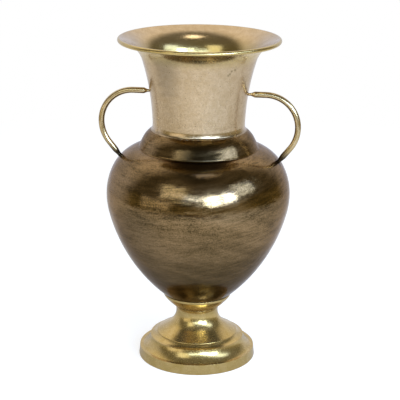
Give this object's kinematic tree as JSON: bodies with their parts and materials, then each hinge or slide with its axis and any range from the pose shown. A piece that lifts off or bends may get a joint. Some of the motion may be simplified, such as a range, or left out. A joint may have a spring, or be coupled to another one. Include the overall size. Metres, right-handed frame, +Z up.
{
  "type": "urn vase",
  "caption": "Footed urn vase of spun sheet metal with a flared neck, a domed collar, a swelling body on a stepped foot, and bent rod handles from neck to shoulder.",
  "frame": {"origin": "on the floor, on the vase's axis, under the middle of the foot", "axes": "+Z up along the axis of the vase, +X through the right-hand handle, -Y towards the viewer"},
  "size_m": [0.202, 0.1836, 0.33],
  "materials": {
    "gold": "champagne gold, satin, faintly mottled and specked",
    "dark_bronze": "dark antique bronze, brushed on and wiped back, glossy",
    "plain_steel": "plain zinc-plated"
  },
  "bodies": {
    "root": {"foot_base": "gold", "foot_ring": "gold", "foot_stem": "gold", "foot_cup": "gold", "body_lower": "dark_bronze", "body_upper": "dark_bronze", "shoulder_collar": "dark_bronze", "neck": "gold", "handle_right": "gold", "handle_left": "gold", "tie_stud": "plain_steel", "clamp_plate": "plain_steel", "tie_washer": "plain_steel", "tie_nut": "plain_steel"}
  },
  "joints": []
}
